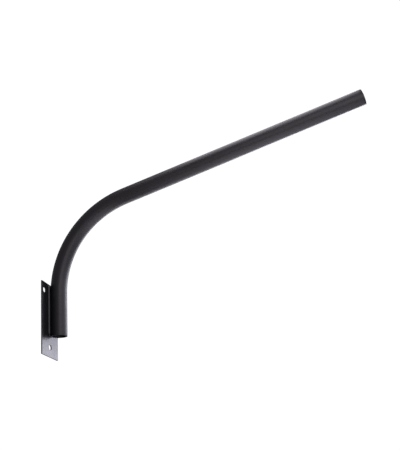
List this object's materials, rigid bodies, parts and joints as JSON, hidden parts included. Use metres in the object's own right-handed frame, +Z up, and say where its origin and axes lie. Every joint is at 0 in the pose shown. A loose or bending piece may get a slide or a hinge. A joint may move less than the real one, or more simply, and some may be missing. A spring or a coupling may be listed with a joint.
{
  "type": "wall lamp bracket arm",
  "caption": "Bent steel tube arm welded to an upright slotted wall plate, rising outward from the wall to carry a lamp on its open end.",
  "frame": {"origin": "middle of the wall plate's back face, the face that lies against the wall", "axes": "+X out of the wall along the arm's reach, +Y sideways along the wall, +Z up"},
  "size_m": [0.8548, 0.12, 0.6232],
  "materials": {
    "tube_coat": "semi-gloss black powder coat on steel tube, fine orange peel",
    "plate_coat": "smooth semi-gloss black powder coat on flat sheet steel",
    "weld_coat": "black powder coat over a rippled weld bead"
  },
  "bodies": {
    "root": {"arm_tube": "tube_coat", "wall_plate": "plate_coat", "weld_bead_left": "weld_coat", "weld_bead_right": "weld_coat"}
  },
  "joints": []
}
